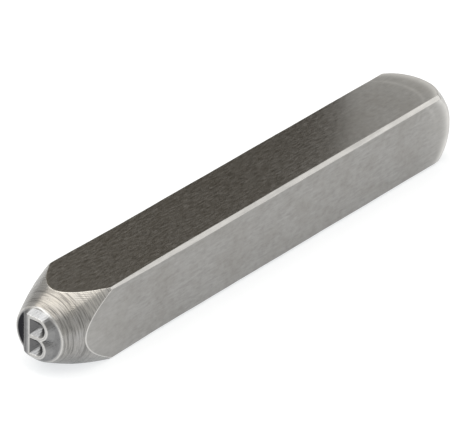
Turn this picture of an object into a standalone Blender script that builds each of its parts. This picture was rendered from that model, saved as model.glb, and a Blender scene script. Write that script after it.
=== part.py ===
"""Steel letter punch: a hand stamp cut from one square bar.

One end of the bar is ground to a round taper and carries a raised letter B on its face,
as a mirror image, so that a blow leaves the letter the right way round. The other end is
rounded off for the hammer. The whole punch is one solid piece of hardened steel.

The punch lies on one of its flats. X runs along the bar, from the letter to the struck
end, Z is up, and the origin is under the middle of the bar. Lengths are in metres and
angles in degrees.
"""

import math

import bmesh
import bpy
from mathutils import Matrix

# Bar
BAR_WIDTH = 0.0090
BAR_LENGTH = 0.0700
CORNER_BEVEL = 0.00042

# Ground head: a slightly rounded taper, from the rim of the face back to the bar's corners
FACE_RADIUS = 0.00330
HEAD_LENGTH = 0.0066
HEAD_BELLY = 0.00012

# Struck end: a rounded chamfer, from the rim of the struck face out to the bar's corners
STRUCK_FACE_RADIUS = 0.00340
STRUCK_CHAMFER_LENGTH = 0.0026
STRUCK_BELLY = 0.00036

# Letter: heights are over the face, sizes are measured on the flat crest
LETTER_RELIEF = 0.00080
LETTER_HEIGHT = 0.00500
LETTER_WIDTH = 0.00320
LETTER_DRAFT = 45.0
LETTER_TRIM_ANGLE = 37.0
STEM_THICKNESS = 0.00062
BOWL_THICKNESS = 0.00042
MIDDLE_BAR_DROP = 0.00014
SMALL_BOWL_SETBACK = 0.00028
COUNTER_FLOOR_WIDTH = 0.00024

# Where the middle of the letter stands, off the axis of the bar
LETTER_SIDE_SHIFT = 0.00015
LETTER_DROP = 0.00010

# How far a cutter runs past the surface that it cuts
OVERCUT = 0.00030

# Fineness of the round shapes, and the angle from which an edge is shown as sharp
TURNED_STEPS = 120
BELLY_STEPS = 8
BOWL_STEPS = 30
SHARP_ANGLE = 9.0
WELD_DISTANCE = 1e-7

STEEL_COLOUR = (0.42, 0.41, 0.39, 1.0)
STEEL_ROUGHNESS = 0.38


def clear_objects():
    """Take everything out of the scene that it opened with."""
    for old in list(bpy.data.objects):
        bpy.data.objects.remove(old, do_unlink=True)


def new_collection(name):
    """Add a collection to the scene."""
    made = bpy.data.collections.new(name)
    bpy.context.scene.collection.children.link(made)
    return made


def steel_material():
    """Bright tool steel, as it comes off the grinding wheel."""
    steel = bpy.data.materials.new("ground_tool_steel")
    steel.use_nodes = True
    surface = steel.node_tree.nodes["Principled BSDF"]
    surface.inputs["Base Color"].default_value = STEEL_COLOUR
    surface.inputs["Metallic"].default_value = 1.0
    surface.inputs["Roughness"].default_value = STEEL_ROUGHNESS
    return steel


def mark_as_cutter(tool):
    """Show a cutting shape as wire only, and leave it out of renders."""
    tool.hide_render = True
    tool.display_type = "WIRE"


def add_boolean(target, tool, operation):
    """Cut the target with a tool, or keep only what both share."""
    cut = target.modifiers.new(tool.name, "BOOLEAN")
    cut.operation = operation
    cut.solver = "EXACT"
    cut.object = tool


def evaluated_mesh(source):
    """The mesh that an object has after its modifiers, with its doubles welded."""
    graph = bpy.context.evaluated_depsgraph_get()
    mesh = bpy.data.meshes.new_from_object(source.evaluated_get(graph))
    shape = bmesh.new()
    shape.from_mesh(mesh)
    bmesh.ops.remove_doubles(shape, verts=shape.verts, dist=WELD_DISTANCE)
    bmesh.ops.recalc_face_normals(shape, faces=shape.faces)
    shape.to_mesh(mesh)
    shape.free()
    return mesh


def punch_axis_frame(along_bar):
    """Place turned shapes: their local Z runs along the bar, through its middle."""
    return Matrix.Translation((along_bar, 0.0, BAR_WIDTH / 2)) @ Matrix.Rotation(math.pi / 2, 4, "Y")


def face_frame(height):
    """Place letter shapes, seen from in front: X to the right, Y up and Z out of the face."""
    front = Matrix(((0, 0, -1, face_position()), (-1, 0, 0, 0), (0, 1, 0, BAR_WIDTH / 2), (0, 0, 0, 1)))
    return front @ Matrix.Translation((0.0, 0.0, height))


def face_position():
    """Where the flat face lies along the bar, behind the crest of the letter."""
    return -BAR_LENGTH / 2 + LETTER_RELIEF


def square_bar(collection, steel):
    """The bar stock, left long at both ends, with its four long corners bevelled."""
    mesh = bpy.data.meshes.new("letter_punch")
    shape = bmesh.new()
    bmesh.ops.create_cube(shape, size=1.0)
    stock = (BAR_LENGTH + 2 * OVERCUT, BAR_WIDTH, BAR_WIDTH)
    bmesh.ops.scale(shape, vec=stock, verts=shape.verts)
    bmesh.ops.translate(shape, vec=(0.0, 0.0, BAR_WIDTH / 2), verts=shape.verts)
    weight = shape.edges.layers.float.new("bevel_weight_edge")
    for edge in shape.edges:
        start, end = edge.verts
        runs_along_bar = abs(start.co.x - end.co.x) > BAR_LENGTH
        edge[weight] = 1.0 if runs_along_bar else 0.0
    shape.to_mesh(mesh)
    shape.free()
    mesh.materials.append(steel)
    bar = bpy.data.objects.new("letter_punch", mesh)
    collection.objects.link(bar)
    bevel = bar.modifiers.new("long corners", "BEVEL")
    bevel.limit_method = "WEIGHT"
    bevel.offset_type = "OFFSET"
    bevel.width = CORNER_BEVEL
    bevel.segments = 1
    return bar


def bellied_taper(rim_radius, length, belly):
    """Points of a turned taper: their radius, and how far back from its rim they lie.

    The taper bulges evenly by its belly over the straight line from the rim to the bar's
    corners, and then runs straight on until it is clear of the bar.
    """
    corner_radius = math.hypot(BAR_WIDTH / 2, BAR_WIDTH / 2 - CORNER_BEVEL)
    growth = corner_radius - rim_radius
    lean = math.atan2(growth, length)
    points = []
    for step in range(BELLY_STEPS + 1):
        share = step / BELLY_STEPS
        bulge = 4 * belly * share * (1 - share)
        radius = rim_radius + growth * share + bulge * math.cos(lean)
        points.append((radius, length * share - bulge * math.sin(lean)))
    clear_radius = BAR_WIDTH / math.sqrt(2) + OVERCUT
    points.append((clear_radius, length + (clear_radius - corner_radius) / math.tan(lean)))
    return points


def turned_blank(cutters):
    """What the grinder leaves: round at both ends and wider than the bar in between.

    Heights are measured from the face, so the crest of the letter is at minus the relief.
    In front of the face, a cone trims the corners of the letter.
    """
    struck_height = BAR_LENGTH - LETTER_RELIEF
    struck_taper = bellied_taper(STRUCK_FACE_RADIUS, STRUCK_CHAMFER_LENGTH, STRUCK_BELLY)
    head_taper = bellied_taper(FACE_RADIUS, HEAD_LENGTH, HEAD_BELLY)
    crest_radius = FACE_RADIUS - LETTER_RELIEF * math.tan(math.radians(LETTER_TRIM_ANGLE))
    profile = [(0.0, struck_height)]
    profile.extend((radius, struck_height - back) for radius, back in struck_taper)
    profile.extend(reversed(head_taper))
    profile.append((crest_radius, -LETTER_RELIEF))
    profile.append((0.0, -LETTER_RELIEF))
    mesh = bpy.data.meshes.new("turned_blank")
    corners = [(radius, 0.0, height) for radius, height in profile]
    links = [(index, index + 1) for index in range(len(corners) - 1)]
    mesh.from_pydata(corners, links, [])
    blank = bpy.data.objects.new("turned_blank", mesh)
    cutters.objects.link(blank)
    screw = blank.modifiers.new("turn", "SCREW")
    screw.axis = "Z"
    screw.steps = TURNED_STEPS
    screw.render_steps = TURNED_STEPS
    screw.use_merge_vertices = True
    screw.merge_threshold = WELD_DISTANCE
    blank.matrix_world = punch_axis_frame(face_position())
    mark_as_cutter(blank)
    return blank


def bowl_shape(left, right, low, high):
    """An outline that is square on the left, at the stem, and half round on the right."""
    middle = (low + high) / 2
    radius = (high - low) / 2
    reach = min(radius, right - left)
    centre = right - reach
    outline = [(left, high), (left, low)]
    for step in range(BOWL_STEPS + 1):
        angle = math.pi * (step / BOWL_STEPS - 0.5)
        outline.append((centre + reach * math.cos(angle), middle + radius * math.sin(angle)))
    return outline


def letter_bowls():
    """Both bowls on the crest, as left, right, low and high edges seen from in front.

    The letter is a mirror image and lies upside down: its stem is on the left, and the
    larger bowl, the lower one in print, is on top. The two share the middle bar.
    """
    left = LETTER_SIDE_SHIFT - LETTER_WIDTH / 2
    right = left + LETTER_WIDTH
    low = -LETTER_DROP - LETTER_HEIGHT / 2
    high = low + LETTER_HEIGHT
    bar_middle = (low + high) / 2 - MIDDLE_BAR_DROP
    bar_low = bar_middle - BOWL_THICKNESS / 2
    bar_high = bar_middle + BOWL_THICKNESS / 2
    large = ("large_bowl", left, right, bar_low, high)
    small = ("small_bowl", left, right - SMALL_BOWL_SETBACK, low, bar_high)
    return [large, small]


def drafted_tool(name, collection, outline, narrow_height, wide_height):
    """A solid whose walls lean out by the draft, from its narrow end to its wide end.

    The outline is that of the narrow end. A bevelled flat curve gives walls at 45
    degrees, and its thickness is then stretched until they lean by the draft.
    """
    rise = abs(wide_height - narrow_height)
    run = rise * math.tan(math.radians(LETTER_DRAFT))
    half_body = OVERCUT
    curve = bpy.data.curves.new(name, "CURVE")
    curve.dimensions = "2D"
    curve.fill_mode = "BOTH"
    curve.extrude = half_body
    curve.bevel_depth = run
    curve.bevel_resolution = 0
    spline = curve.splines.new("POLY")
    spline.points.add(len(outline) - 1)
    for point, (across, up) in zip(spline.points, outline):
        point.co = (across, up, 0.0, 1.0)
    spline.use_cyclic_u = True
    sketch = bpy.data.objects.new(name + "_outline", curve)
    collection.objects.link(sketch)
    stretch = rise / run
    body_side = 1.0 if wide_height > narrow_height else -1.0
    middle_height = wide_height + body_side * half_body * stretch
    sketch.matrix_world = face_frame(middle_height) @ Matrix.Diagonal((1.0, 1.0, stretch, 1.0))
    tool = bpy.data.objects.new(name, evaluated_mesh(sketch))
    collection.objects.link(tool)
    tool.matrix_world = sketch.matrix_world
    bpy.data.objects.remove(sketch, do_unlink=True)
    mark_as_cutter(tool)
    return tool


def field_cutter(cutters):
    """The metal that is taken away round the letter, down to the face."""
    depth = LETTER_RELIEF + OVERCUT
    mesh = bpy.data.meshes.new("field_round_letter")
    shape = bmesh.new()
    bmesh.ops.create_cone(
        shape,
        cap_ends=True,
        segments=TURNED_STEPS // 2,
        radius1=FACE_RADIUS + 2 * OVERCUT,
        radius2=FACE_RADIUS + 2 * OVERCUT,
        depth=depth,
    )
    shape.to_mesh(mesh)
    shape.free()
    field = bpy.data.objects.new("field_round_letter", mesh)
    cutters.objects.link(field)
    field.matrix_world = face_frame(depth / 2)
    spread = math.tan(math.radians(LETTER_DRAFT))
    lead = 2 * OVERCUT
    inset = lead * spread
    for name, left, right, low, high in letter_bowls():
        outline = bowl_shape(left + inset, right - inset, low + inset, high - inset)
        body = drafted_tool(name, cutters, outline, LETTER_RELIEF + lead, -lead)
        add_boolean(field, body, "DIFFERENCE")
    mark_as_cutter(field)
    return field


def counter_cutters(cutters):
    """The two pits inside the bowls, whose walls lean inward down to a narrow floor."""
    draft = math.radians(LETTER_DRAFT)
    tools = []
    for name, left, right, low, high in letter_bowls():
        pit_width = right - left - STEM_THICKNESS - BOWL_THICKNESS
        pit_height = high - low - 2 * BOWL_THICKNESS
        lean = (min(pit_width, pit_height) - COUNTER_FLOOR_WIDTH) / 2
        stem_side = STEM_THICKNESS + lean
        bowl_side = BOWL_THICKNESS + lean
        outline = bowl_shape(left + stem_side, right - bowl_side, low + bowl_side, high - bowl_side)
        floor_height = LETTER_RELIEF - lean / math.tan(draft)
        pit = drafted_tool(name + "_counter", cutters, outline, floor_height, LETTER_RELIEF + OVERCUT)
        tools.append(pit)
    return tools


def settle_modifiers(target):
    """Keep the finished shape as a plain mesh, smooth where it is round."""
    finished = evaluated_mesh(target)
    target.modifiers.clear()
    target.data = finished
    finished.name = target.name
    finished.shade_smooth()
    finished.set_sharp_from_angle(angle=math.radians(SHARP_ANGLE))


def build_punch():
    """Make the bar, grind both of its ends and cut the letter."""
    clear_objects()
    parts = new_collection("steel_letter_punch")
    cutters = new_collection("cutters")
    punch = square_bar(parts, steel_material())
    add_boolean(punch, turned_blank(cutters), "INTERSECT")
    add_boolean(punch, field_cutter(cutters), "DIFFERENCE")
    for pit in counter_cutters(cutters):
        add_boolean(punch, pit, "DIFFERENCE")
    settle_modifiers(punch)


build_punch()
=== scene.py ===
import math

import bmesh
import bpy
import numpy as np
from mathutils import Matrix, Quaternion, Vector
from mathutils.geometry import delaunay_2d_cdt


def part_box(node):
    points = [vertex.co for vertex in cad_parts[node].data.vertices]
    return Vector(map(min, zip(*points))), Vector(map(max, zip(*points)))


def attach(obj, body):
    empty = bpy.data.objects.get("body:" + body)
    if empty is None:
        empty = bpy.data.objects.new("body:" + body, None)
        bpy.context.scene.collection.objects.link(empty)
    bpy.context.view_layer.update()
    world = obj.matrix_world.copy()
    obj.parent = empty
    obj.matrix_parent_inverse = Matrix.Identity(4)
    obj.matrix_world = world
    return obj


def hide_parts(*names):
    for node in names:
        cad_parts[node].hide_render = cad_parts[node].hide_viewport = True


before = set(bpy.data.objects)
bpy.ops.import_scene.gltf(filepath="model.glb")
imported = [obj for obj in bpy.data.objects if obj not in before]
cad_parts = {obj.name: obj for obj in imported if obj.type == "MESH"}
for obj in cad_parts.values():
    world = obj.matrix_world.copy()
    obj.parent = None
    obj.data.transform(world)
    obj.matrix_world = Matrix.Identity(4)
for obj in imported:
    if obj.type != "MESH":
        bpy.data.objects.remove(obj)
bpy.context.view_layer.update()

# The bar
# The punch is one piece of drawn tool steel, square, with its four long corners taken off
# and every edge a little rounded by handling. Its surface is laid out in columns round the
# axis of the bar. Seen from the letter end, u runs to the right and v runs up.
lowest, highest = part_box("letter_punch")
half_length = (highest.x - lowest.x) / 2
half_width = (highest.y - lowest.y) / 2
axis_height = (highest.z + lowest.z) / 2
corner_bevel = 0.00042
bevel_narrowing = 0.00018
narrowest_at = 0.0074 - half_length
narrowing_reach = 0.006
bevel_waviness = 0.000012
short_wave = 0.00081
short_wave_shift = 2.3
long_wave = 0.0023
edge_softness = 0.00003
flat_columns = 28
bevel_columns = 26
beside_bevel = 0.00012


def column_directions():
    """Directions round the bar as u and v, close together over its bevels."""
    widest = math.atan((half_width - corner_bevel - beside_bevel) / half_width)
    on_flat = np.linspace(-widest, widest, flat_columns)
    on_corner = np.linspace(widest, math.pi / 2 - widest, bevel_columns + 2)[1:-1]
    quarter = np.concatenate((on_flat, on_corner))
    turns = np.concatenate([quarter + side * math.pi / 2 for side in range(4)])
    return np.cos(turns), np.sin(turns)


column_u, column_v = column_directions()
columns = len(column_u)
side_of_column = np.arange(columns) * 4 // columns
flat_radius = half_width / np.maximum(np.abs(column_u), np.abs(column_v))


def lesser(a, b, softness):
    """The lesser of two measures, with the edge between them rounded."""
    overlap = np.maximum(softness - np.abs(a - b), 0) / softness
    return np.minimum(a, b) - overlap**2 * softness / 4


def ramp(value, start, end):
    """0 up to a start, 1 from an end on, and a straight rise between them."""
    return np.clip((value - start) / (end - start), 0, 1)


def close_to(place, centre, reach):
    """1 at a centre, fading to 0 on both sides of it."""
    return np.exp(-(((place - centre) / reach) ** 2))


def bevel_radius(along):
    """How far out the bevels lie. They are a little uneven, and narrower close to the head."""
    narrowing = bevel_narrowing * close_to(along, narrowest_at, narrowing_reach)
    short_waves = 0.5 * np.sin(along / short_wave + short_wave_shift * side_of_column)
    long_waves = np.sin(along / long_wave + side_of_column)
    bevel = corner_bevel - narrowing + bevel_waviness * (short_waves + long_waves)
    return (2 * half_width - bevel) / (np.abs(column_u) + np.abs(column_v))


def bar_radius(along):
    """Radius of the bar in every column, at a place along it."""
    return lesser(flat_radius, bevel_radius(along), edge_softness)


def on_bevel(along):
    """1 on the bevels and 0 on the flats."""
    return ramp(flat_radius - bevel_radius(along), -edge_softness / 2, edge_softness / 2)


# The ground head
# The letter end is ground round, to a slightly bellied taper that runs out on the flats in
# four arcs. It starts at the worn rim of the face and ends at the corners of the bar.
letter_relief = 0.00080
face_position = letter_relief - half_length
face_radius = 0.00330
rim_softness = 0.00017
rim_radius = face_radius - rim_softness
head_length = 0.0066
head_belly = 0.00012
head_rows = 120
arc_softness = 0.00008
corner_radius = math.hypot(half_width, half_width - corner_bevel)


def bellied_taper(start_radius, length, belly):
    """The shape of a turned taper: its rim, and how far it grows, bulges and draws back."""
    growth = corner_radius - start_radius
    chord = math.hypot(growth, length)
    return start_radius, growth, length, 4 * belly * length / chord, 4 * belly * growth / chord


def along_taper(taper, share):
    """Distance back from the rim and radius, at a share of the way to the bar's corners."""
    start_radius, growth, length, bulge_out, bulge_forward = taper
    bulge = share * (1 - share)
    back = length * share - bulge_forward * bulge
    return back, start_radius + growth * share + bulge_out * bulge


def share_at(taper, radius):
    """The share of the way at which a taper has a radius."""
    start_radius, growth, length, bulge_out, bulge_forward = taper
    slope = growth + bulge_out
    root = np.sqrt(slope**2 - 4 * bulge_out * (radius - start_radius))
    return (slope - root) / (2 * bulge_out)


head = bellied_taper(face_radius, head_length, head_belly)


def head_profile(share):
    """Place along the bar and radius, at a share of the way from the rim to the corners."""
    back, radius = along_taper(head, share)
    return np.array((face_position + back, radius))


# The letter
# It stands out from the face as a mirror image and upside down, with its stem on the left.
# It is milled from the end of the bar with sloping walls, its two counters are vee-shaped
# pits, and the round of the head trims its corners.
letter_height = 0.00500
letter_width = 0.00320
small_bowl_width = 0.00292
stem_thickness = 0.00062
bowl_thickness = 0.00028
counter_floor = 0.00024
wall_slope = math.tan(math.radians(45))
trim_slope = math.tan(math.radians(37))
crest_softness = 0.00006
shift_to_right = 0.00015
shift_down = 0.00010
middle_bar_drop = 0.00003
letter_left = shift_to_right - letter_width / 2
letter_low = -shift_down - letter_height / 2
letter_high = letter_low + letter_height
middle_bar = (letter_low + letter_high) / 2 - middle_bar_drop
bar_low = middle_bar - bowl_thickness / 2
bar_high = middle_bar + bowl_thickness / 2
large_bowl = (letter_left, letter_left + letter_width, bar_low, letter_high)
small_bowl = (letter_left, letter_left + small_bowl_width, letter_low, bar_high)
bowls = (large_bowl, small_bowl)


def counter_of(bowl):
    """The open part of a bowl on the crest, and how far in its walls slope."""
    left, right, low, high = bowl
    left, right = left + stem_thickness, right - bowl_thickness
    low, high = low + bowl_thickness, high - bowl_thickness
    return (left, right, low, high), (min(right - left, high - low) - counter_floor) / 2


def distance_outside(shape, u, v):
    """Distance out of a shape that is square on its left and half round on its right."""
    left, right, low, high = shape
    radius = (high - low) / 2
    middle = (high + low) / 2
    centre = right - radius
    square = np.maximum(np.abs(v - middle) - radius, left - u)
    return np.where(u > centre, np.hypot(u - centre, v - middle) - radius, square)


def distance_off_letter(u, v):
    """Distance out of the letter's outer edge."""
    return np.minimum(*(distance_outside(bowl, u, v) for bowl in bowls))


def pit_height(u, v):
    """How high the walls and floors of the two counters stand."""
    heights = []
    for opening, reach in map(counter_of, bowls):
        inside = lesser(-distance_outside(opening, u, v), reach, 2 * crest_softness)
        heights.append(letter_relief - inside / wall_slope)
    return np.minimum(*heights)


def face_height(u, v):
    """How far the letter and the face stand out in front of the plane of the rim."""
    wall = letter_relief - distance_off_letter(u, v) / wall_slope
    height = lesser(-lesser(-wall, 0.0, crest_softness), letter_relief, crest_softness)
    height = lesser(height, (face_radius - np.hypot(u, v)) / trim_slope, crest_softness)
    return lesser(height, pit_height(u, v), crest_softness)


# The mill left slanting strokes on every wall of the letter, but not on its crest.
stroke_pitch = 0.00027
stroke_depth = 0.000016
stroke_slant = math.radians(40)
waver_to_right = 0.00041
waver_upward = 0.00063
clear_of_crest = 0.00015
clear_of_rim = 0.0002


def milled_height(u, v):
    """The height of the letter and the face, with the strokes of the mill in it."""
    height = face_height(u, v)
    across = v * math.cos(stroke_slant) - u * math.sin(stroke_slant)
    waver = 0.6 * np.sin(u / waver_to_right + 1.7) + 0.5 * np.sin(v / waver_upward)
    stroke = 0.5 - 0.5 * np.cos(2 * math.pi * across / stroke_pitch + waver)
    below_crest = ramp(letter_relief - height, 0, clear_of_crest)
    off_rim = ramp(rim_radius - np.hypot(u, v), 0, clear_of_rim)
    return height - stroke_depth * stroke * below_crest * off_rim


# A dark film stays on the steel that the mill cut, thickest in the counters, and the stem's
# crest is darker. Painted shade is laid into the same values: walls are painted darker or
# lighter by the way they face, with walls and pit sides that face up painted light, and the
# outer half of the stem's crest and the land beside the stem are painted dark.
stem_film = 0.18
outer_stem_shade = 0.44
wall_film = 0.42
upward_wall_shade = 0.16
left_facing_wall_shade = 0.85
pit_film = 0.70
upward_pit_light = 0.6
land_film_and_shade = 0.52
stem_side_shade = 0.48
least_film = 0.03
stem_shade_edge = letter_left + 0.00052
stem_shade_fade = 0.00030
pit_edge_fade = 0.00004
crest_edge_fade = 0.00008
rim_fade = 0.00015
land_top = (0.0001, 0.0002)
land_fade = (-0.0012, 0.0005)
wall_rise = (0, 0.6)
upward_light_rise = (0.78, 0.90)
level_slope = 0.2
slope_step = 0.00001


def beside_stem(u):
    """1 on the outer half of the stem's crest, painted in shade, and 0 from its inner edge on."""
    return ramp(stem_shade_edge - u, 0, stem_shade_fade)


def film_and_shade_on(u, v):
    """How dark the letter and the face are, from 0 to 1: a dark layer from the mill, with painted
    shade on walls by the way they face and beside the stem.
    """
    height = face_height(u, v)
    faces_up = face_height(u, v - slope_step) - face_height(u, v + slope_step)
    faces_up = faces_up / (2 * slope_step)
    faces_right = face_height(u - slope_step, v) - face_height(u + slope_step, v)
    faces_right = faces_right / (2 * slope_step)
    steepness = np.maximum(np.hypot(faces_up, faces_right), level_slope)
    upward = ramp(faces_up / steepness, 0, 1)
    in_pit = ramp(letter_relief - pit_height(u, v), 0, pit_edge_fade)
    off_crest = ramp(letter_relief - height, 0, crest_edge_fade)
    on_land = (1 - ramp(height, *land_top)) * (1 - in_pit)
    still_dark = 1 - ramp(upward, *upward_light_rise)
    walls = (wall_film + upward_wall_shade * ramp(upward, *wall_rise)) * still_dark
    walls = np.maximum(walls, left_facing_wall_shade * ramp(-faces_right, 0, 1))
    pits = pit_film * (1 - upward_pit_light * ramp(faces_up, 0, 1))
    crest = stem_film * (u < letter_left + stem_thickness) + outer_stem_shade * beside_stem(u)
    land = (land_film_and_shade + stem_side_shade * (1 - ramp(u, *land_fade))) * still_dark
    film_and_shade = crest * (1 - off_crest) + (walls * (1 - in_pit) + pits * in_pit) * off_crest
    off_rim = ramp(rim_radius - np.hypot(u, v), 0, rim_fade)
    return np.maximum((film_and_shade * (1 - on_land) + land * on_land) * off_rim, least_film)


# The struck end
# It is rounded off, so that the hammer doesn't spread its edge, and its face is flat. Both
# are ground.
struck_radius = 0.00340
struck_length = 0.0026
struck_belly = 0.00036
struck_softness = 0.00020
struck_rows = 30
worn_chamfer_rows = 8
face_rows_count = 60
bar_rows = 72
near_end = 0.0040
near_end_rows = 24
struck = bellied_taper(struck_radius, struck_length, struck_belly)


def struck_profile(share):
    """Place along the bar and radius, at a share of the way from the rim to the corners."""
    back, radius = along_taper(struck, share)
    return np.array((half_length - back, radius))


# The skin of the punch
# Rows of points follow every column from the rim of the face back to the struck face. Each
# row says where the steel is ground bright, where rings are left on it, where it is worn and
# carries a painted highlight, and where painted light lies on the flats, close to the two ends.
def between(start, end, count):
    """Evenly spaced rows between two others."""
    return [start + (end - start) * step / count for step in range(1, count)]


def soft_corner(before, corner, after, steps=4):
    """Rows that round a corner, from one row to another."""
    shares = [step / steps for step in range(steps + 1)]
    return [(1 - t) ** 2 * before + 2 * t * (1 - t) * corner + t**2 * after for t in shares]


def moved(row, along_bar=0.0, outward=0.0):
    """A row that lies further along the bar or further out."""
    return row + np.array(((along_bar,), (outward,)))


skin = []


def lay_rows(rows, bright, rings, wear_and_highlight, painted_light=0.0):
    """Add rows to the skin, with the finish and the painted light that they have."""
    for row in rows:
        finish = [np.broadcast_to(value, columns) for value in (bright, rings, wear_and_highlight, painted_light)]
        skin.append(np.array((*row, *finish)))


def lay_rim_with_highlight(before, corner, after, wear_and_highlight, steps=10):
    """Add the rows that round a rim, with wear and a painted highlight brightest in the middle of
    it.
    """
    for step, row in enumerate(soft_corner(before, corner, after, steps)):
        lay_rows([row], 1.0, 0.0, wear_and_highlight * math.sin(math.pi * step / steps))


# The head, from the rim of the face to the four arcs. Its rings are deepest on its upper
# right, where their dark colour is also painted shade, and its corners are worn a little
# brighter. Its rim and its arcs show wear with a painted highlight.
every_column = np.ones(columns)
head_rim_wear_and_highlight = 0.85
head_slant = math.hypot(head_length, corner_radius - face_radius)
rim_share = rim_softness / head_slant
rim_height = milled_height(rim_radius * column_u, rim_radius * column_v)
rim_start = np.array((face_position - rim_height, rim_radius * every_column))
rim_end = head_profile(rim_share * every_column)
lay_rim_with_highlight(rim_start, head_profile(0 * every_column), rim_end, head_rim_wear_and_highlight)

deepest_rings = math.radians(60)
mean_rings, ring_swing = 0.65, 0.35
head_corner_wear = 0.25
head_wear_reach = 0.0006
arc_share = share_at(head, bar_radius(face_position + head_length))
arc_soft_share = arc_softness / head_slant
head_arc = head_profile(arc_share)
around = np.arctan2(column_v, column_u)
ring_strength = mean_rings + ring_swing * np.cos(around - deepest_rings)
for share in between(rim_share, arc_share - arc_soft_share, head_rows):
    along, radius = head_profile(share)
    wear = head_corner_wear * ramp(radius, half_width, half_width + head_wear_reach)
    lay_rows([np.array((along, radius))], 1.0, ring_strength, wear)
arc_start = head_profile(arc_share - arc_soft_share)
arc_end = moved(head_arc, along_bar=arc_softness)
lay_rows(soft_corner(arc_start, head_arc, arc_end), 1.0, 0.0, 1.0)

# The drawn bar, from the arcs of the head to those of the chamfer. Painted light lies on its
# flats at the struck end and behind the head.
end_highlight, end_highlight_reach = 0.9, 0.0009
faint_end_light, faint_end_light_reach = 0.16, 0.0035
highlight_line, highlight_line_place, highlight_line_width = 0.2, 0.0028, 0.0003
light_behind_head, light_behind_head_reach = 0.14, 0.0060
# Bevel wear with a painted highlight, stronger toward both ends.
bevel_wear_and_highlight, bevel_highlight_at_ends = 0.42, 0.4
struck_share = share_at(struck, bar_radius(half_length - struck_length))
struck_slant = math.hypot(struck_length, corner_radius - struck_radius)
soft_share = struck_softness / struck_slant
struck_arc = struck_profile(struck_share)
bar_start = moved(head_arc, along_bar=2 * arc_softness)
bar_middle = moved(struck_arc, along_bar=-near_end)
bar_end = moved(struck_arc, along_bar=-1.2 * struck_softness)


def painted_light_at(along):
    """How much painted light the flats carry: a highlight at the struck end, a line across the
    upper flat close to it, and a patch on the upright flats behind the head.
    """
    to_end = struck_arc[0] - along
    on_top = ramp(column_v, 0, 1)
    painted_light = end_highlight * close_to(to_end, 0, end_highlight_reach)
    painted_light = painted_light + faint_end_light * close_to(to_end, 0, faint_end_light_reach)
    line = close_to(to_end, highlight_line_place, highlight_line_width)
    behind_head = close_to(along, head_arc[0], light_behind_head_reach)
    return painted_light + highlight_line * on_top * line + light_behind_head * (1 - on_top) * behind_head


drawn_rows = [bar_start, *between(bar_start, bar_middle, bar_rows)]
drawn_rows += [bar_middle, *between(bar_middle, bar_end, near_end_rows), bar_end]
for along, _ in drawn_rows:
    bevel = on_bevel(along)
    wear = bevel * (bevel_wear_and_highlight + bevel_highlight_at_ends * (along / half_length) ** 4)
    lay_rows([np.array((along, bar_radius(along)))], bevel, 0.0, wear, painted_light_at(along))

# The chamfer and the struck face. The arc and the rim of the chamfer show wear with a painted
# highlight.
struck_rim_wear_and_highlight = 0.6
struck_face_rings = 0.35
struck_start = struck_profile(struck_share - soft_share)
flat_end = moved(struck_arc, along_bar=-struck_softness)
lay_rows(soft_corner(flat_end, struck_arc, struck_start, steps=8), 1.0, 0.0, 1.0)
chamfer_shares = between(struck_share - soft_share, soft_share * every_column, struck_rows)
for step, share in enumerate(chamfer_shares):
    wear = max(1 - step / worn_chamfer_rows, 0)
    lay_rows([struck_profile(share)], 1.0, 1 - wear, wear)
struck_rim = struck_profile(0 * every_column)
rim_inside = moved(struck_rim, outward=-struck_softness)
chamfer_end = struck_profile(soft_share * every_column)
lay_rim_with_highlight(chamfer_end, struck_rim, rim_inside, struck_rim_wear_and_highlight)
middle_of_end = np.array((half_length * every_column, 0 * every_column))
face_rows = [*between(rim_inside, middle_of_end, face_rows_count), middle_of_end]
lay_rows(face_rows, 1.0, struck_face_rings, 0.0)

# The face and the letter are a skin of triangles, whose points follow the letter's edges.
point_gap = 0.00004
edge_lines = crest_softness * np.array((-1, -1 / 3, 1 / 3, 1))
outer_lines = np.concatenate((edge_lines, letter_relief * wall_slope + edge_lines))
crest_wear_reach = 0.00009
stem_crest_wear = 0.35
shaded_crest_share = 0.85


def outline_points(shape, offset):
    """Points along the outline of a letter shape, moved outward by an offset."""
    left, right, low, high = shape
    radius = (high - low) / 2 + offset
    middle = (high + low) / 2
    centre = right - (high - low) / 2
    left = left - offset
    turn = np.linspace(-math.pi / 2, math.pi / 2, round(math.pi * radius / point_gap))
    level = np.linspace(left, centre, round((centre - left) / point_gap))[:-1]
    upright_count = round(2 * radius / point_gap)
    upright = np.linspace(middle - radius, middle + radius, upright_count)[1:-1]
    round_side = np.stack((centre + radius * np.cos(turn), middle + radius * np.sin(turn)), axis=1)
    low_side = np.stack((level, np.full_like(level, middle - radius)), axis=1)
    high_side = np.stack((level, np.full_like(level, middle + radius)), axis=1)
    stem_side = np.stack((np.full_like(upright, left), upright), axis=1)
    return np.concatenate((round_side, low_side, high_side, stem_side))


def gap_to(lines, distance):
    """How far a distance is from the nearest of some lines."""
    return np.min(np.abs(distance[:, None] - lines), axis=1)


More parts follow.
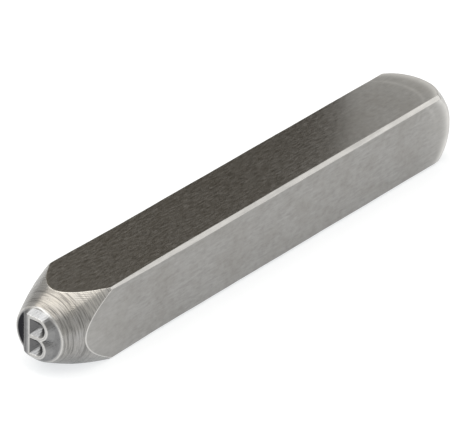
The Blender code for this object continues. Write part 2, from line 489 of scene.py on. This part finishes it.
def face_points():
    """Points on the face: along the letter's edges first, then an even grid between them."""
    lines = []
    for offset in outer_lines:
        for bowl in bowls:
            points = outline_points(bowl, offset)
            off_outer_edge = np.abs(distance_off_letter(*points.T) - offset)
            lines.append(points[off_outer_edge < 0.1 * point_gap])
    for bowl in bowls:
        for offset in edge_lines:
            lines.append(outline_points(counter_of(bowl)[0], offset))
    side = np.arange(-face_radius, face_radius, point_gap)
    grid = np.stack(np.meshgrid(side, side), axis=2).reshape(-1, 2)
    clear = gap_to(outer_lines, distance_off_letter(*grid.T))
    for bowl in bowls:
        in_counter = distance_outside(counter_of(bowl)[0], *grid.T)
        clear = np.minimum(clear, gap_to(edge_lines, in_counter))
    points = np.concatenate((*lines, grid[clear > 0.6 * point_gap]))
    points = points[np.hypot(*points.T) < rim_radius - 0.7 * point_gap]
    cells = np.round(points / (0.4 * point_gap)).astype(int)
    first_in_cell = np.unique(cells, axis=0, return_index=True)[1]
    return points[np.sort(first_in_cell)]


def crest_edge_wear(u, v, height):
    """How far the edges of the letter's crest show wear and a painted highlight, less on the stem
    and least on its outer half, which is painted in shade.
    """
    off_edge = np.abs(distance_off_letter(u, v))
    for bowl in bowls:
        off_edge = np.minimum(off_edge, np.abs(distance_outside(counter_of(bowl)[0], u, v)))
    wear = close_to(off_edge, 0, crest_wear_reach) * (height > 0.9 * letter_relief)
    on_stem = u < letter_left + stem_thickness
    return wear * (1 - shaded_crest_share * beside_stem(u)) * np.where(on_stem, stem_crest_wear, 1.0)


def skin_mesh():
    """The closed mesh of the punch, with its finishes and its painted light and shade as
    attributes of its points.
    """
    along, radius, bright, rings, wear_and_highlight, painted_light = np.array(skin).transpose(1, 0, 2)
    bar_skin = np.stack((along, -radius * column_u, axis_height + radius * column_v), axis=2)
    bar_skin = bar_skin.reshape(-1, 3)
    index = np.arange(len(bar_skin)).reshape(len(skin), columns)
    ahead = np.roll(index, -1, axis=1)
    quads = np.stack((index[:-1], ahead[:-1], ahead[1:], index[1:]), axis=2).reshape(-1, 4)
    rim_ring = np.stack((rim_radius * column_u, rim_radius * column_v), axis=1)
    flat_points = [Vector(point) for point in np.concatenate((rim_ring, face_points()))]
    laid_out = delaunay_2d_cdt(flat_points, [], [], 0, 1e-9)
    u, v = np.array(laid_out[0]).T
    height = milled_height(u, v)
    face_skin = np.stack((face_position - height, -u, axis_height + v), axis=1)
    triangles = np.array(laid_out[2]) + len(bar_skin)
    mesh = bpy.data.meshes.new("punch_skin")
    points = np.concatenate((bar_skin, face_skin))
    mesh.from_pydata(points, [], [*quads.tolist(), *triangles.tolist()])
    finishes = {
        "bright": (bright, 1.0),
        "rings": (rings, 0.0),
        "wear_and_highlight": (wear_and_highlight, crest_edge_wear(u, v, height)),
        "painted_light": (painted_light, 0.0),
        "film_and_shade": (0.0, film_and_shade_on(u, v)),
    }
    for finish, (on_bar, on_face) in finishes.items():
        on_bar = np.broadcast_to(on_bar, along.shape).reshape(-1)
        values = np.concatenate((on_bar, np.broadcast_to(on_face, len(u)))).astype(np.float32)
        mesh.attributes.new(finish, "FLOAT", "POINT").data.foreach_set("value", values)
    shape = bmesh.new()
    shape.from_mesh(mesh)
    bmesh.ops.remove_doubles(shape, verts=shape.verts, dist=1e-7)
    bmesh.ops.recalc_face_normals(shape, faces=shape.faces)
    shape.to_mesh(mesh)
    shape.free()
    return mesh


# The finish of the steel
# The drawn flats are a dull grey with faint lengthwise streaks and clouds from hardening.
# The head, the bevels and the chamfer are bright where the wheel cut them, and the ground
# round the letter keeps a dark film. Painted light and shade lie on top: painted highlights on
# the worn edges and at the ends of the flats, painted shade in the ring grooves, and painted
# shade in the letter's film.
dull_grain = (0.375, 0.369, 0.361)
clean_grain = (0.460, 0.454, 0.446)
dark_speck = (0.270, 0.263, 0.252)
hardening_cloud = (0.300, 0.288, 0.270)
pale_mottle = (0.465, 0.458, 0.450)
# Painted highlight and light on the flats.
painted_highlight = (0.84, 0.83, 0.81)
ground_dull = (0.290, 0.286, 0.280)
ground_clean = (0.450, 0.443, 0.435)
# Painted shade in the ring grooves.
ring_groove_shade = (0.215, 0.210, 0.203)
ring_grey = (0.43, 0.425, 0.422)
ring_straw = (0.43, 0.418, 0.392)
cut_dull = (0.43, 0.43, 0.435)
cut_clean = (0.53, 0.53, 0.53)
# Dark film, with the painted shade of the letter laid into it.
dark_film_and_shade = (0.022, 0.022, 0.026)
# Worn edges, with a painted highlight.
worn_edge_highlight = (0.78, 0.77, 0.75)
grain_relief = 0.000014


def add_node(tree, kind, inputs, **settings):
    """A node with its settings, and its inputs by name or number: values or other outputs."""
    node = tree.nodes.new(kind)
    for name, value in settings.items():
        setattr(node, name, value)
    for name, value in inputs.items():
        if isinstance(value, bpy.types.NodeSocket):
            tree.links.new(value, node.inputs[name])
        else:
            node.inputs[name].default_value = value
    return node


def calculate(tree, operation, *values):
    """The result of one calculation with values."""
    inputs = dict(enumerate(values))
    return add_node(tree, "ShaderNodeMath", inputs, operation=operation).outputs[0]


def multiply(tree, first, second):
    """The product of two values."""
    return calculate(tree, "MULTIPLY", first, second)


def calculate_place(tree, operation, *places, result="Vector"):
    """The result of one calculation with places."""
    inputs = dict(enumerate(places))
    return add_node(tree, "ShaderNodeVectorMath", inputs, operation=operation).outputs[result]


def streaks(tree, place, size_along, size_across, detail):
    """Noise whose spots have one size along the bar and another across it, in metres."""
    scale = (1 / size_along, 1 / size_across, 1 / size_across)
    stretched = add_node(tree, "ShaderNodeMapping", {"Vector": place, "Scale": scale}).outputs[0]
    inputs = {"Vector": stretched, "Scale": 1.0, "Detail": detail, "Roughness": 0.6}
    return add_node(tree, "ShaderNodeTexNoise", inputs).outputs["Fac"]


def blend_colours(tree, share, first, second):
    """A colour between two others."""
    mix = add_node(tree, "ShaderNodeMix", {0: share}, data_type="RGBA")
    for socket, colour in ((mix.inputs[6], first), (mix.inputs[7], second)):
        if isinstance(colour, bpy.types.NodeSocket):
            tree.links.new(colour, socket)
        else:
            socket.default_value = (*colour, 1.0)
    return mix.outputs[2]


def blend_values(tree, share, first, second):
    """A value between two others."""
    inputs = {0: share, 2: first, 3: second}
    return add_node(tree, "ShaderNodeMix", inputs, data_type="FLOAT").outputs[0]


def spread(tree, value, low, high, to_low=0.0, to_high=1.0):
    """A value stretched from one range to another."""
    ranges = {"From Min": low, "From Max": high, "To Min": to_low, "To Max": to_high}
    return add_node(tree, "ShaderNodeMapRange", {"Value": value, **ranges}).outputs["Result"]


def attribute(tree, name):
    """One of the finishes that the mesh carries."""
    return add_node(tree, "ShaderNodeAttribute", {}, attribute_name=name).outputs["Fac"]


def turned_place(tree, place, axis):
    """Distance in from an end along its turned profile, and the place off the axis."""
    off_middle = calculate_place(tree, "SUBTRACT", place, (0.0, 0.0, axis_height))
    off_axis = calculate_place(tree, "MULTIPLY", off_middle, (0.0, 1.0, 1.0))
    radius = calculate_place(tree, "LENGTH", off_axis, result="Value")
    along = calculate_place(tree, "DOT_PRODUCT", off_middle, axis, result="Value")
    turned = calculate(tree, "SUBTRACT", calculate(tree, "ABSOLUTE", along), radius)
    return turned, off_axis


def ground_tool_steel():
    """The steel of the whole punch."""
    steel = bpy.data.materials.new("ground_tool_steel")
    steel.use_nodes = True
    tree = steel.node_tree
    surface = tree.nodes["Principled BSDF"]
    place = add_node(tree, "ShaderNodeTexCoord", {}).outputs["Object"]
    grain = streaks(tree, place, size_along=0.0035, size_across=0.0003, detail=4.0)
    clouds = streaks(tree, place, size_along=0.004, size_across=0.0025, detail=3.0)
    mottle = streaks(tree, place, size_along=0.0008, size_across=0.0006, detail=4.0)
    speckle = streaks(tree, place, size_along=0.0010, size_across=0.00022, detail=3.0)
    turned, off_axis = turned_place(tree, place, (1.0, 0.0, 0.0))
    turned = add_node(tree, "ShaderNodeCombineXYZ", {"X": turned}).outputs[0]
    ring_place = calculate_place(tree, "ADD", turned, off_axis)
    rings = streaks(tree, ring_place, size_along=0.00022, size_across=0.003, detail=3.0)

    drawn = blend_colours(tree, spread(tree, grain, 0.3, 0.7), dull_grain, clean_grain)
    specks = spread(tree, speckle, 0.3, 0.7, 0.8, 0.0)
    drawn = blend_colours(tree, specks, drawn, dark_speck)
    drawn = blend_colours(tree, spread(tree, clouds, 0.4, 0.7, 0.0, 0.6), drawn, hardening_cloud)
    drawn = blend_colours(tree, spread(tree, mottle, 0.35, 0.7, 0.0, 0.4), drawn, pale_mottle)
    # Painted light on the flats.
    uneven_light = spread(tree, clouds, 0.35, 0.6, 0.75, 1.0)
    painted_light = multiply(tree, attribute(tree, "painted_light"), uneven_light)
    drawn = blend_colours(tree, painted_light, drawn, painted_highlight)

    ground = blend_colours(tree, spread(tree, grain, 0.3, 0.7), ground_dull, ground_clean)
    ring_crest = blend_colours(tree, spread(tree, clouds, 0.35, 0.65), ring_grey, ring_straw)
    ringed = blend_colours(tree, spread(tree, rings, 0.40, 0.55), ring_groove_shade, ring_crest)
    ground = blend_colours(tree, attribute(tree, "rings"), ground, ringed)
    colour = blend_colours(tree, attribute(tree, "bright"), drawn, ground)

    on_letter = spread(tree, attribute(tree, "film_and_shade"), 0.0, least_film)
    fresh_cut = blend_colours(tree, spread(tree, mottle, 0.35, 0.65), cut_dull, cut_clean)
    colour = blend_colours(tree, on_letter, colour, fresh_cut)
    # The dark film, with painted shade in it.
    colour = blend_colours(tree, attribute(tree, "film_and_shade"), colour, dark_film_and_shade)
    # Worn edges, with a painted highlight.
    uneven_wear = spread(tree, clouds, 0.35, 0.65, 0.6, 1.0)
    wear_and_highlight = multiply(tree, attribute(tree, "wear_and_highlight"), uneven_wear)
    colour = blend_colours(tree, wear_and_highlight, colour, worn_edge_highlight)
    tree.links.new(colour, surface.inputs["Base Color"])
    surface.inputs["Metallic"].default_value = 1.0

    drawn_roughness = spread(tree, speckle, 0.25, 0.75, 0.29, 0.48)
    ground_roughness = spread(tree, mottle, 0.3, 0.7, 0.26, 0.31)
    bright = attribute(tree, "bright")
    roughness = blend_values(tree, bright, drawn_roughness, ground_roughness)
    tree.links.new(roughness, surface.inputs["Roughness"])
    relief = blend_values(tree, attribute(tree, "rings"), speckle, rings)
    bump_sizes = {"Height": relief, "Strength": 1.0, "Distance": grain_relief}
    bump = add_node(tree, "ShaderNodeBump", bump_sizes)
    tree.links.new(bump.outputs["Normal"], surface.inputs["Normal"])
    return steel


# Marks in the surface
# The wheel leaves rings round the head and the chamfer, uneven and slightly out of true,
# and handling leaves small nicks along the edges. Both are cut into the mesh itself.
marks = {
    "Ring gap": 0.00024,
    "Ring depth": 0.000020,
    "Nick size": 0.0006,
    "Nick depth": 0.000018,
    "Seed": 7.0,
}
out_of_true = (1.0, 0.05, -0.03)
ring_patches = 450.0


def surface_marks(steel):
    """The node tree that cuts rings and nicks into the skin, and gives it its steel."""
    tree = bpy.data.node_groups.new("surface_marks", "GeometryNodeTree")
    sockets = tree.interface
    sockets.new_socket("Punch", in_out="INPUT", socket_type="NodeSocketGeometry")
    for size in marks:
        sockets.new_socket(size, in_out="INPUT", socket_type="NodeSocketFloat")
    sockets.new_socket("Punch", in_out="OUTPUT", socket_type="NodeSocketGeometry")
    given = add_node(tree, "NodeGroupInput", {}).outputs
    position = add_node(tree, "GeometryNodeInputPosition", {}).outputs[0]

    def finish(name):
        """One of the finishes of the skin."""
        kind = "GeometryNodeInputNamedAttribute"
        return add_node(tree, kind, {"Name": name}, data_type="FLOAT").outputs["Attribute"]

    def noise(inputs, **settings):
        """Uneven values, from about 0.25 to 0.75."""
        return add_node(tree, "ShaderNodeTexNoise", inputs, **settings).outputs["Fac"]

    turned = turned_place(tree, position, out_of_true)[0]
    turns = calculate(tree, "DIVIDE", turned, given["Ring gap"])
    turns = calculate(tree, "ADD", turns, given["Seed"])
    ring = noise({"W": turns, "Scale": 1.0, "Detail": 2.0}, noise_dimensions="1D")
    patch = noise({"Vector": position, "Scale": ring_patches, "Detail": 1.0})
    patch_strength = spread(tree, patch, 0.4, 0.6, 0.3, 1.0)
    ring = multiply(tree, spread(tree, ring, 0.35, 0.65), patch_strength)
    ring_cut = multiply(tree, multiply(tree, ring, finish("rings")), given["Ring depth"])

    finer = calculate(tree, "DIVIDE", 1.0, given["Nick size"])
    dent = noise({"Vector": position, "Scale": finer, "Detail": 1.0})
    nick = multiply(tree, spread(tree, dent, 0.5, 0.8), finish("wear_and_highlight"))
    nick_cut = multiply(tree, nick, given["Nick depth"])

    inward = multiply(tree, calculate(tree, "ADD", ring_cut, nick_cut), -1.0)
    normal = add_node(tree, "GeometryNodeInputNormal", {}).outputs[0]
    scaled = {0: normal, "Scale": inward}
    offset = add_node(tree, "ShaderNodeVectorMath", scaled, operation="SCALE").outputs[0]
    moves = {"Geometry": given["Punch"], "Offset": offset}
    marked = add_node(tree, "GeometryNodeSetPosition", moves).outputs[0]
    whole = add_node(tree, "GeometryNodeRealizeInstances", {"Geometry": marked}).outputs[0]
    finished = add_node(tree, "GeometryNodeSetMaterial", {"Geometry": whole, "Material": steel})
    add_node(tree, "NodeGroupOutput", {"Punch": finished.outputs[0]})
    return tree


def marked_mesh(source, tree, sizes):
    """The plain mesh that an object has after a node tree with these sizes."""
    modifier = source.modifiers.new(tree.name, "NODES")
    modifier.node_group = tree
    for socket in tree.interface.items_tree:
        if socket.name in sizes:
            modifier[socket.identifier] = sizes[socket.name]
    graph = bpy.context.evaluated_depsgraph_get()
    mesh = bpy.data.meshes.new_from_object(source.evaluated_get(graph))
    source.modifiers.clear()
    return mesh


punch = bpy.data.objects.new("ground_letter_punch", skin_mesh())
bpy.context.scene.collection.objects.link(punch)
punch.data = marked_mesh(punch, surface_marks(ground_tool_steel()), marks)
punch.data.shade_smooth()
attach(punch, "root")
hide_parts("letter_punch")

# The camera
# It looks down at the punch from the letter end, from where the photograph was taken, with
# a long lens.
view_azimuth = math.radians(-52.0)
view_elevation = math.radians(28.8)
view_distance = 0.7068
view_roll = math.radians(1.34)
lens_length = 480
aim = Vector((0.0, 0.0, axis_height))


def direction_to(azimuth, elevation):
    """The direction from the punch to an azimuth and an elevation."""
    level = math.cos(elevation)
    return Vector((
        math.sin(azimuth) * level,
        -math.cos(azimuth) * level,
        math.sin(elevation),
    ))


toward_camera = direction_to(view_azimuth, view_elevation)
rolled = Quaternion((0.0, 0.0, 1.0), view_roll)
camera_data = bpy.data.cameras.new("camera")
camera_data.lens = lens_length
camera = bpy.data.objects.new("camera", camera_data)
camera.location = aim + toward_camera * view_distance
camera.rotation_mode = "QUATERNION"
camera.rotation_quaternion = toward_camera.to_track_quat("Z", "Y") @ rolled
bpy.context.scene.collection.objects.link(camera)
bpy.context.scene.camera = camera

# The floor
# A plain pale sheet that takes the shadow of the punch. What the camera and the steel see
# of it is lifted to white.
floor_radius = 4.0
floor_grey = (0.5, 0.5, 0.5, 1.0)
floor_white = (0.96, 0.98, 1.0, 1.0)
lift_for_camera = 0.66
lift_in_steel = 0.46
floor_mesh = bpy.data.meshes.new("floor")
shape = bmesh.new()
bmesh.ops.create_circle(shape, cap_ends=True, segments=96, radius=floor_radius)
shape.to_mesh(floor_mesh)
shape.free()
floor = bpy.data.objects.new("floor", floor_mesh)
bpy.context.scene.collection.objects.link(floor)
paper = bpy.data.materials.new("pale_floor")
paper.use_nodes = True
paper_tree = paper.node_tree
paper_tree.nodes.clear()
rays = add_node(paper_tree, "ShaderNodeLightPath", {}).outputs
in_steel = calculate(
    paper_tree, "MAXIMUM", rays["Is Glossy Ray"], rays["Is Transmission Ray"]
)
lift = calculate(
    paper_tree,
    "MAXIMUM",
    multiply(paper_tree, rays["Is Camera Ray"], lift_for_camera),
    multiply(paper_tree, in_steel, lift_in_steel),
)
paper_lit = add_node(paper_tree, "ShaderNodeBsdfDiffuse", {"Color": floor_grey}).outputs[0]
lifted = {"Color": floor_white, "Strength": lift}
paper_white = add_node(paper_tree, "ShaderNodeEmission", lifted).outputs[0]
paper_both = add_node(paper_tree, "ShaderNodeAddShader", {0: paper_lit, 1: paper_white})
add_node(paper_tree, "ShaderNodeOutputMaterial", {"Surface": paper_both.outputs[0]})
floor_mesh.materials.append(paper)


# The light
# A pale room, a long soft lamp overhead, and two smaller ones: one lights the bevel along
# the bar, and the other lights the upper walls of the letter.
lamp_distance = 0.60
room_colour = (0.62, 0.613, 0.592, 1.0)


def soft_lamp(name, azimuth, elevation, width, height, power, colour):
    """An area lamp that faces the punch from an azimuth and an elevation, in degrees."""
    lamp_data = bpy.data.lights.new(name, "AREA")
    lamp_data.shape = "RECTANGLE"
    lamp_data.size = width
    lamp_data.size_y = height
    lamp_data.energy = power
    lamp_data.color = colour
    lamp = bpy.data.objects.new(name, lamp_data)
    direction = direction_to(math.radians(azimuth), math.radians(elevation))
    lamp.location = aim + direction * lamp_distance
    lamp.rotation_mode = "QUATERNION"
    lamp.rotation_quaternion = (-direction).to_track_quat("-Z", "Y")
    lamp.visible_camera = False
    bpy.context.scene.collection.objects.link(lamp)


soft_lamp(
    "overhead_lamp", azimuth=180, elevation=82,
    width=0.32, height=1.08, power=1.70, colour=(1.0, 0.94, 0.86),
)
soft_lamp(
    "bevel_lamp", azimuth=55, elevation=33,
    width=0.30, height=0.30, power=0.21, colour=(1.0, 0.99, 0.97),
)
soft_lamp(
    "letter_lamp", azimuth=-114, elevation=47,
    width=0.54, height=0.26, power=0.62, colour=(0.98, 0.99, 1.0),
)

world = bpy.data.worlds.new("room")
bpy.context.scene.world = world
world.use_nodes = True
room = world.node_tree.nodes["Background"]
room.inputs["Color"].default_value = room_colour
room.inputs["Strength"].default_value = 1.0

# A dark card stands behind the punch, as a studio flag does, so that the upper flat reads
# as dark steel. It is darkest toward the struck end. Only reflections show it.
card_distance = 0.031
card_top = 0.09
card_bottom = 0.012
card_left = -0.050
card_right = 0.0127
felt_left = (0.175, 0.152, 0.112)
felt_right = (0.115, 0.099, 0.072)
behind = Vector((-math.sin(view_azimuth), math.cos(view_azimuth), 0.0))
aside = Vector((math.cos(view_azimuth), math.sin(view_azimuth), 0.0))
card_mesh = bpy.data.meshes.new("dark_card")
shape = bmesh.new()
corners = []
for across, up in (
    (card_left, card_bottom), (card_right, card_bottom),
    (card_right, card_top), (card_left, card_top),
):
    place = behind * card_distance + aside * across + Vector((0.0, 0.0, up))
    corners.append(shape.verts.new(place))
shape.faces.new(corners)
shape.to_mesh(card_mesh)
shape.free()
card = bpy.data.objects.new("dark_card", card_mesh)
bpy.context.scene.collection.objects.link(card)
felt = bpy.data.materials.new("dark_felt")
felt.use_nodes = True
felt_tree = felt.node_tree
felt_surface = felt_tree.nodes["Principled BSDF"]
felt_place = add_node(felt_tree, "ShaderNodeTexCoord", {}).outputs["Object"]
felt_across = calculate_place(
    felt_tree, "DOT_PRODUCT", felt_place, tuple(aside), result="Value"
)
felt_share = spread(felt_tree, felt_across, card_left, card_right)
felt_colour = blend_colours(felt_tree, felt_share, felt_left, felt_right)
felt_tree.links.new(felt_colour, felt_surface.inputs["Base Color"])
felt_surface.inputs["Roughness"].default_value = 1.0
card_mesh.materials.append(felt)
card.visible_camera = False
card.visible_diffuse = False
card.visible_shadow = False

bpy.context.scene.view_settings.view_transform = "Standard"
